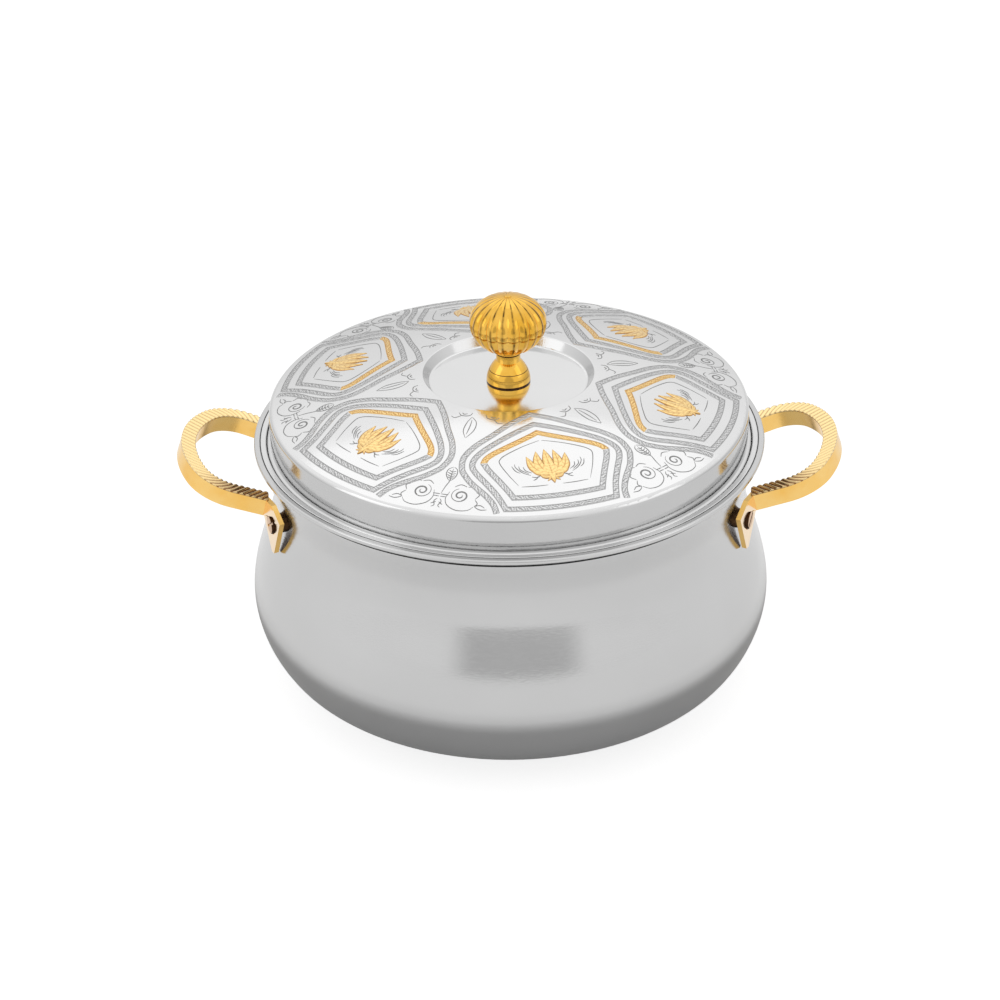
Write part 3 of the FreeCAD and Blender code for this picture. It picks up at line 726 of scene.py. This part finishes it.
# %% Engraved metal
def engraved(name, polished, cut, smooth, rough):
    """Metal whose colour and roughness run from polished to cut with the recess."""
    g = Graph(name)
    depth = g.add("ShaderNodeAttribute", {"attribute_name": RECESS})
    place = g.add("ShaderNodeTexCoord")
    grain = g.noise((place, "Object"), 1400.0, 2.0, 0.6)
    uneven = g.math("MULTIPLY", g.math("SUBTRACT", grain, 0.5), 0.3)
    mixed = g.math("ADD", (depth, "Fac"), uneven)
    shader = g.add("ShaderNodeBsdfPrincipled", Metallic=1.0)
    g.feed(shader, "Base Color", g.ramp(mixed, [(0.1, polished), (0.9, cut)]))
    g.roughen(shader, mixed, smooth, rough, 0.0, 1.0)
    return g.surface(shader)


cut_steel = engraved("cut_steel", grey(0.70), grey(0.34), smooth=0.14, rough=0.42)
line_steel = engraved("line_steel", grey(0.70), grey(0.28), smooth=0.14, rough=0.45)
inlaid_gold = engraved("inlaid_gold", (0.97, 0.70, 0.31, 1.0), (0.58, 0.33, 0.12, 1.0),
                       smooth=0.18, rough=0.45)
chased_gold = engraved("chased_gold", (1.0, 0.76, 0.38, 1.0), (0.30, 0.14, 0.06, 1.0),
                       smooth=0.12, rough=0.35)
mouth_shade = engraved("mouth_shade", grey(0.10), grey(0.03), smooth=0.4, rough=0.6)

# %% The three bands of each medallion
inner_edges = mitred(round_trip([INNER_TOP, INNER_SIDE]), BAND_WIDTH, True)
gilt_part = [joined([lines[k] for k in (1, 2)]) for lines in inner_edges]
steel_part = [joined([lines[k] for k in (3, 4, 0)]) for lines in inner_edges]
middle_edges = mitred(round_trip([MIDDLE_SIDE]), BAND_WIDTH, True)
middle_band = [joined(lines)[:-1] for lines in middle_edges]
outer_edges = mitred(round_trip([OUTER_SIDE], False), BAND_WIDTH, False)
outer_band = [joined(lines) for lines in outer_edges]
tube_piece("lid_band_gilt", cut_ribbon(*gilt_part, seed=3), inlaid_gold, "lid")
tube_piece("lid_band_inner", cut_ribbon(*steel_part, seed=4), cut_steel, "lid")
tube_piece("lid_band_middle", cut_ribbon(*middle_band, seed=5, looped=True), cut_steel,
           "lid")
tube_piece("lid_band_outer", cut_ribbon(*outer_band, seed=6), cut_steel, "lid")

# %% [markdown]
# Single graver strokes are thin ribbons that fade out at both ends. They draw the line
# inside the bands, the leaves beside each lotus, and the scrolls and leaves between the
# medallions, which sit half way between two bearings. Most strokes are drawn for one side
# and cut in mirror image as well; only the leaves of the last list lie as drawn.

# %% Graver strokes
STROKE_WIDTH = 0.42
STROKE_STEP = 0.4
STROKE_LIFT = np.array([0.045, 0.07, 0.045])
SPIRAL_POINTS = 24
BETWEEN = BEARINGS + math.pi / MEDALLIONS


def stroke(points, bearings=BEARINGS):
    """A thin ribbon along a smooth line; its width grows as the root of sin(pi s)."""
    path = curve(points, STROKE_STEP)
    share = np.linspace(0.02, 0.98, len(path))
    half = sideways(path) * (STROKE_WIDTH / 2 * np.sqrt(np.sin(math.pi * share)))[:, None]
    lift = np.tile(STROKE_LIFT, (len(path), 1))

    def place(plan, height):
        return on_dome(plan, height, bearings)

    return ribbon(path + half, path - half, lift, np.ones_like(lift), place=place)


def both(points):
    """A line and its mirror image."""
    line = np.asarray(points, float)
    return [line, line * (1, -1)]


def spiral(middle, widest, narrowest, start, turns):
    """Points of a spiral: the radius falls evenly while the angle grows."""
    share = np.linspace(0, 1, SPIRAL_POINTS)
    radius = widest + (narrowest - widest) * share
    angle = math.radians(start) + 2 * math.pi * turns * share
    u = middle[0] + radius * np.cos(angle)
    w = middle[1] + radius * np.sin(angle)
    return np.stack([u, w], axis=-1)


MEDALLION_STROKES = [
    [(63.3, 0.3), (66.2, 8.6), (70, 16.9), (72.5, 20.2), (75.3, 21), (82.5, 19.2), (91.2, 16)],
    [(91.8, 15.2), (92.6, 9), (92.8, 3)],
    [(76.8, 14.8), (79.5, 14.8), (83.2, 12.6), (85.8, 9.2)],
    [(78.6, 13.4), (81.4, 13), (84.6, 9.8)],
    [(79.4, 11.6), (82.2, 11), (84.4, 8.4)],
    [(78, 16.4), (81.5, 15.4), (83.6, 13.4)],
    [(86.2, 4.6), (87.4, 7), (86.6, 9.4)],
    [(86.4, 6.2), (88.2, 7.4), (89, 9.2)],
]
SCROLL_STROKES = [
    spiral((99, 8.8), 4.3, 0.7, 200, 1.9),
    spiral((99, 8.8), 3.0, 0.5, 20, 1.3),
    [(97.4, 3.6), (101.8, 2.9), (105.6, 4.8), (107.6, 9.4), (106.6, 14.2), (103.8, 16.4)],
    [(94.6, 4.6), (92.6, 7.2), (93.4, 10.4)],
    [(93.4, 10.4), (92.9, 13.2), (95.4, 14.8)],
    [(95.4, 14.8), (96.8, 16.8), (99.8, 15.6)],
    [(99.8, 15.6), (102, 17.4), (103.8, 16.4)],
    [(103.8, 16.4), (102.6, 18.8), (103.6, 21.4)],
    [(103.8, 16.4), (105, 19.4), (104.2, 22.6)],
    [(99.7, 0), (99.6, 3.8)],
    [(101.1, 0), (101, 3)],
    [(102.2, 0.4), (104, 1.6), (106.4, 0.9), (107.6, 2.2)],
    [(104.2, 0.4), (105.8, 2.8)],
    [(43.2, 3.2), (45.8, 4.2), (46.4, 7.6), (44.2, 9.8)],
    [(44.4, 5.2), (45.2, 7), (44, 8)],
    [(46.4, 7.6), (48.6, 10.2), (47.6, 12.4)],
]
LEAF_STROKES = [
    [(82.4, 0.6), (84.2, -1.3), (87, -1.5), (89.6, -0.3), (91.4, 1.4)],
    [(82.4, 0.6), (84, 2.6), (86.8, 3.3), (89.4, 2.8), (91.4, 1.4)],
    [(83.2, 0.7), (86.8, 0.9), (91.4, 1.4), (95.2, 0.6), (99.6, 0)],
    [(84.6, -1), (85.6, 0.8), (84.8, 2.6)],
    [(86, -1.3), (87, 0.9), (86.2, 3)],
    [(87.4, -1.2), (88.4, 1), (87.6, 3)],
    [(88.8, -0.6), (89.6, 1.2), (88.9, 2.7)],
    [(46.5, -2.6), (51.5, -3.6), (57.5, -3.3), (62.5, -0.8)],
    [(46.5, -2.6), (50.5, 0.6), (56.5, 1.2), (62.5, -0.8)],
    [(48.5, -2), (53.5, -1.4), (60, -1.2)],
]
strokes = []
for points in MEDALLION_STROKES:
    for half_line in both(points):
        strokes += stroke(half_line)
for points in SCROLL_STROKES:
    for half_line in both(points):
        strokes += stroke(half_line, BETWEEN)
for points in LEAF_STROKES:
    strokes += stroke(points, BETWEEN)
tube_piece("lid_strokes", strokes, line_steel, "lid")

# %% [markdown]
# The lotus is built up from leaf-shaped petals, laid from the back of the flower to the
# front, each a little higher than the one behind. A petal is a ribbon whose width swells
# and closes to a point, with a rounded back and a cut line along its edge and midrib.

# %% Gilt lotus
PETAL_STEP = 0.25
PETAL_COLUMNS = 15
PETAL_BELLY = 0.8
PETAL_BACK = 0.22
PETAL_CUT = 0.1
PETAL_VEINS = 7


def petal(points, widest, level):
    """A leaf shape: half width = widest sin(pi s^belly), lift = level + a rounded back."""
    path = curve(points, PETAL_STEP)
    share = np.linspace(0.015, 0.985, len(path))
    swell = np.sin(math.pi * share ** PETAL_BELLY)
    half = sideways(path) * (widest * swell)[:, None]
    across = np.linspace(-1, 1, PETAL_COLUMNS)[None, :]
    lift = level + PETAL_BACK * (1 - across ** 2) * swell[:, None] ** 0.5
    edge = smooth_step(np.abs(across), 0.62, 0.85)
    rib = 1 - smooth_step(np.abs(across), 0.06, 0.2)
    rib = 0.8 * rib * smooth_step(share, 0.15, 0.4)[:, None]
    vein_turns = share[:, None] * PETAL_VEINS - np.abs(across)
    veins = 0.5 * smooth_step(np.sin(2 * math.pi * vein_turns), 0.3, 0.8)
    recess = np.maximum(np.maximum(edge, rib), veins * (np.abs(across) < 0.6))
    return ribbon(path + half, path - half, lift - PETAL_CUT * recess, recess)


PETALS = [
    ([(86, 1), (84.4, 5.6), (79.2, 9.0)], 1.9, 0.10),
    ([(87, 2), (81.5, 6.9), (73.3, 8.8)], 2.3, 0.16),
    ([(88, 0.8), (80, 4.3), (70.7, 3.9)], 2.6, 0.22),
    ([(88, 0.6), (87.8, 3.4), (85.8, 5.6)], 1.0, 0.26),
    ([(87, 0.3), (89.2, 1.6), (90.4, 3.0)], 0.7, 0.20),
]
MIDDLE_PETALS = [
    ([(88, 0), (79, 0), (69.9, 0)], 2.7, 0.28),
    ([(89.4, 0), (82.5, 0), (74.6, 0)], 3.3, 0.34),
    ([(90, 0), (85.5, 0), (79.4, 0)], 2.1, 0.42),
    ([(85.6, 0), (88.6, 0), (92, 0)], 1.3, 0.40),
]
flower = []
for points, widest, level in PETALS:
    for half_line in both(points):
        flower += petal(half_line, widest, level)
for points, widest, level in MIDDLE_PETALS:
    flower += petal(points, widest, level)
tube_piece("lid_lotus", flower, inlaid_gold, "lid")

# %% [markdown]
# Three plain rings finish the mouth. A bead is pressed outwards round the lid's skirt, so
# that hardly any gap is left between the lid and the bore. The other two are near-black
# rings of painted shade: one in the groove of the rim and one under the rolled lip. All
# three are the same surface: a small closed outline of radius and height, turned once round
# the axis. The offsets are counted from the wall and from the lip's underside.

# %% Bead and painted shade round the mouth
RING_STEPS = 360


def ring(outline):
    """A closed (radius, height) outline in millimetres at each of RING_STEPS bearings."""
    turn = np.arange(RING_STEPS) * (2 * math.pi / RING_STEPS)
    radius, height = np.asarray(outline, float).T
    x = np.cos(turn)[:, None] * radius
    y = np.sin(turn)[:, None] * radius
    return np.stack([x, y, np.broadcast_to(height, x.shape)], axis=-1) * MM


BEAD_PROUD = 1.65
BEAD_HEIGHT = 124.95
BEAD_HALF_HEIGHT = 1.1
BEAD_ROOT = 0.3
BEAD_POINTS = 13
WALL_AT_LIP = 117.0
GROOVE_OFFSETS = (-0.5, 0.55)
GROOVE_HEIGHTS = (125.3, 125.85)
LIP_UNDERSIDE = 123.5
LIP_SHADE_OFFSETS = [(1.6, 0.1), (-0.5, 0.1), (-1.0, -2.7), (-0.3, -2.4), (0.4, -1.1)]

swell = np.linspace(-math.pi / 2, math.pi / 2, BEAD_POINTS)
bead = np.stack([BEAD_PROUD * np.cos(swell), BEAD_HALF_HEIGHT * np.sin(swell)], axis=-1)
bead = np.vstack([bead, [(-BEAD_ROOT, BEAD_HALF_HEIGHT), (-BEAD_ROOT, -BEAD_HALF_HEIGHT)]])
bead += (LID_RADIUS / MM, BEAD_HEIGHT)
inside, outside = (WALL_AT_LIP + side for side in GROOVE_OFFSETS)
low, high = GROOVE_HEIGHTS
groove = [(inside, low), (outside, low), (outside, high), (inside, high)]
lip_shade_outline = np.add(LIP_SHADE_OFFSETS, (WALL_AT_LIP, LIP_UNDERSIDE))
tube_piece("lid_bead", [(ring(bead), 0.0, True)], cut_steel, "lid")
# Near-black rings of painted shade in the rim's groove and under the lip.
tube_piece("rim_groove_shade", [(ring(groove), 0.6, True)], mouth_shade, "pot")
tube_piece("lip_shade", [(ring(lip_shade_outline), 1.0, True)], mouth_shade, "pot")

# %% [markdown]
# The top face of each handle's loop is chased like a twisted rope: slanting ridges, about
# three millimetres apart, whose slant swings over on the way from the rear foot to the
# front one. The ridges are one long ribbon along the middle line of the loop, which is a
# straight leg, a corner arc and an arc round the end. Its height is the absolute value of
# a sine wave, so each ridge is round and each furrow sharp, and it is laid on the tilted
# top face. Towards the front foot the gold is painted darker: a painted dark reflection.

# %% Middle line of a handle's loop
LEG_ROOT = np.array([111.57, 33.98])
LEG_SLANT = math.radians(4.9)
CORNER_RADIUS = 20.0
END_RADIUS = 49.0
END_CENTRE = np.array([104.5, 0.0])
LOOP_STEP = 0.2


def arc(centre, radius, first, last):
    """Points on a circle from one angle to another, about LOOP_STEP apart."""
    count = max(3, int(abs(last - first) * radius / LOOP_STEP))
    turn = np.linspace(first, last, count)
    return centre + radius * np.stack([np.cos(turn), np.sin(turn)], axis=-1)


def loop_line():
    """Leg, corner and end of the loop in its own flat plane, from one foot to the other."""
    along = np.array([math.cos(LEG_SLANT), math.sin(LEG_SLANT)])
    inward = np.array([math.sin(LEG_SLANT), -math.cos(LEG_SLANT)])
    start = LEG_ROOT + inward * CORNER_RADIUS - END_CENTRE
    drift = start @ along
    run = -drift + math.sqrt(drift ** 2 - start @ start + (END_RADIUS - CORNER_RADIUS) ** 2)
    corner = LEG_ROOT + inward * CORNER_RADIUS + along * run
    leg = LEG_ROOT + along * np.linspace(0, run, int(run / LOOP_STEP))[:, None]
    out = math.atan2(*(corner - END_CENTRE)[::-1])
    bend = arc(corner, CORNER_RADIUS, LEG_SLANT + math.pi / 2, out)
    end = arc(END_CENTRE, END_RADIUS, out, 0.0)
    half_loop = joined([leg, bend, end])
    return np.concatenate([half_loop, half_loop[-2::-1] * (1, -1)])


# %% Twisted ridges on the handles
LOOP_WIDTH = 6.9
RIDGE_PITCH = 2.9
RIDGE_LIFT = 0.05
RIDGE_HEIGHT = 0.75
RIDGE_COLUMNS = 15
PAINTED_REFLECTION_SHARES = (0.70, 0.88)
LEAN = [(0.0, 0.75), (0.2, 0.7), (0.34, 0.0), (0.5, -0.35), (0.66, -0.95), (0.78, -0.9),
        (1.0, -0.85)]
TILT = math.radians(19.3)
HINGE = (112.2, 110.0)


def on_loop(side):
    """Lays flat plan points on the loop's tilted top face; side is 1 or -1."""

    def place(plan, lift):
        out = plan[..., 0] - HINGE[0]
        x = HINGE[0] + out * math.cos(TILT) - lift * math.sin(TILT)
        z = HINGE[1] + out * math.sin(TILT) + lift * math.cos(TILT)
        return [np.stack([side * x, plan[..., 1], z], axis=-1) * MM]

    return place


def twist(side):
    """Ridge height |sin(pi phase)|, phase = (distance along - lean x across) / pitch."""
    middle = loop_line()
    along = arc_length(middle)
    across = np.linspace(0.5, -0.5, RIDGE_COLUMNS)[None, :] * LOOP_WIDTH
    share = along / along[-1]
    lean = np.interp(share, *np.transpose(LEAN))
    phase = (along[:, None] - lean[:, None] * across) / RIDGE_PITCH
    wave = np.abs(np.sin(math.pi * phase))
    # Towards the front foot the recess, and so the darkness, grows: painted dark reflection.
    dull = smooth_step(share, *PAINTED_REFLECTION_SHARES)[:, None]
    recess = (1 - smooth_step(wave, 0.1, 0.7)) * (0.4 + 0.6 * dull) + 0.4 * dull
    sides = sideways(middle) * (LOOP_WIDTH / 2)
    lift = RIDGE_LIFT + RIDGE_HEIGHT * wave ** 0.8
    return ribbon(middle + sides, middle - sides, lift, recess, place=on_loop(side))


tube_piece("handle_twist_right", twist(1), chased_gold, "pot")
tube_piece("handle_twist_left", twist(-1), chased_gold, "pot")

# %% [markdown]
# The stage is a pale floor inside a white tent. The camera sees plain white all round.
# Polished metal shows what stands around it, so a reflected ray sees the tent as it would
# be in a studio: white overhead, greyer towards the horizon, a little brighter in front
# than behind, and dark at the opening that the camera looks through. What lights the object
# is a softer grey. The floor is matt and pale, which keeps the shadow under the pot, with
# a glow that lifts it to white. In a reflection the glow is weak close to the pot, where
# the pot's own bulk keeps the light off the floor.

# %% Stage: the floor
FLOOR_SIZE = 6.0
FLOOR_PAINT = 0.6
FLOOR_GLOW = 0.77
MIRRORED_GLOW = [(0.0, grey(0.06)), (0.146, grey(0.08)), (0.172, grey(0.46)),
                 (0.21, grey(0.575)), (1.0, grey(0.595))]


def floor_material():
    """Paint for every ray, plus an even glow for the camera and one by distance for gloss."""
    g = Graph("floor")
    paint = g.add("ShaderNodeBsdfDiffuse", Color=grey(FLOOR_PAINT))
    path = g.add("ShaderNodeLightPath")
    place = g.add("ShaderNodeTexCoord")
    split = g.wire(place, g.add("ShaderNodeSeparateXYZ"), "Object")
    mirrored = g.ramp(g.from_axis(split), MIRRORED_GLOW)
    glossy = g.math("MULTIPLY", mirrored, (path, "Is Glossy Ray"))
    plain = g.math("MULTIPLY", g.direct(path), FLOOR_GLOW)
    strength = g.math("ADD", glossy, plain)
    glow = g.add("ShaderNodeEmission", Color=grey(1.0))
    g.feed(glow, "Strength", strength)
    lit = g.add("ShaderNodeAddShader")
    g.wire(paint, lit, 0, 0)
    g.wire(glow, lit, 0, 1)
    return g.surface(lit)


half = FLOOR_SIZE / 2
floor_mesh = bpy.data.meshes.new("floor")
floor_mesh.from_pydata(
    [(-half, -half, 0), (half, -half, 0), (half, half, 0), (-half, half, 0)], [], [(0, 1, 2, 3)])
floor = bpy.data.objects.new("floor", floor_mesh)
scene.collection.objects.link(floor)
floor_mesh.materials.append(floor_material())
print("floor", FLOOR_SIZE, "m square")

# %% Stage: the white tent
TENT_LIGHT = 0.5
BACK_SHADES = [(0.0, grey(0.72)), (0.5, grey(0.74)), (0.55, grey(0.79)), (0.745, grey(1.0)),
               (1.0, grey(1.0))]
FRONT_SHADES = [(0.0, grey(0.90)), (0.5, grey(0.94)), (0.6, grey(1.0)), (1.0, grey(1.0))]
OPENING_DIRECTION = (0.05, -0.997, 0.05)
OPENING_SHADE = 0.62


def tent():
    """World: the ray's height (z + 1) / 2 through one ramp behind and one in front, darker
    near the opening's direction."""
    world = bpy.data.worlds.new("tent")
    scene.world = world
    world.use_nodes = True
    g = Graph("tent", world.node_tree, "ShaderNodeOutputWorld")
    place = g.add("ShaderNodeTexCoord")
    split = g.wire(place, g.add("ShaderNodeSeparateXYZ"), "Generated")
    height = g.math("MULTIPLY", g.math("ADD", (split, 2), 1.0), 0.5)
    behind = g.ramp(height, BACK_SHADES)
    before = g.ramp(height, FRONT_SHADES)
    facing = g.add("ShaderNodeMapRange", From_Min=0.3, From_Max=-0.4)
    g.wire(split, facing, 1, "Value")
    shades = g.blend((facing, 0), behind, before)
    towards = g.add("ShaderNodeVectorMath", {"operation": "DOT_PRODUCT"})
    g.wire(place, towards, "Generated", 0)
    towards.inputs[1].default_value = OPENING_DIRECTION
    opening = g.ramp((towards, "Value"), [(0.87, grey(1.0)), (0.94, grey(OPENING_SHADE))])
    mirrored = g.add("ShaderNodeBackground")
    g.feed(mirrored, "Color", g.blend(1.0, shades, opening, "MULTIPLY"))
    plain = g.add("ShaderNodeBackground", Color=grey(1.0))
    light = g.add("ShaderNodeBackground", Color=grey(1.0), Strength=TENT_LIGHT)
    path = g.add("ShaderNodeLightPath")
    gloss = g.add("ShaderNodeMixShader")
    g.wire(path, gloss, "Is Glossy Ray", 0)
    g.wire(light, gloss, 0, 1)
    g.wire(mirrored, gloss, 0, 2)
    shown = g.add("ShaderNodeMixShader")
    g.feed(shown, 0, g.direct(path))
    g.wire(gloss, shown, 0, 1)
    g.wire(plain, shown, 0, 2)
    g.wire(shown, g.output, 0, "Surface")


tent()

# %% [markdown]
# Three dim softboxes model the pot: a broad one high up behind it and one at each side. A
# mirror shows a lamp and the tent behind it added together, so the lamps stay weak, or
# the polished metal would lose its tones.


# %% Stage: softboxes
def softbox(name, place, aim, size, radiance):
    """An area lamp facing its aim; its power is radiance times area times pi."""
    lamp = bpy.data.lights.new(name, "AREA")
    lamp.shape = "RECTANGLE"
    lamp.size, lamp.size_y = size
    lamp.energy = radiance * size[0] * size[1] * math.pi
    holder = bpy.data.objects.new(name, lamp)
    scene.collection.objects.link(holder)
    direction = Vector(aim) - Vector(place)
    turn = direction.to_track_quat("-Z", "Y").to_matrix().to_4x4()
    holder.matrix_world = Matrix.Translation(place) @ turn
    return holder


POT_MIDDLE = (0.0, 0.0, 0.08)
softbox("overhead", (0.0, 0.75, 1.35), POT_MIDDLE, size=(1.3, 0.8), radiance=0.24)
softbox("left_side", (-1.3, -0.5, 0.9), POT_MIDDLE, size=(0.8, 0.9), radiance=0.5)
softbox("right_side", (1.3, -0.5, 0.9), POT_MIDDLE, size=(0.8, 0.9), radiance=0.35)
scene.view_settings.view_transform = "Standard"
print("stage and lamps are up")
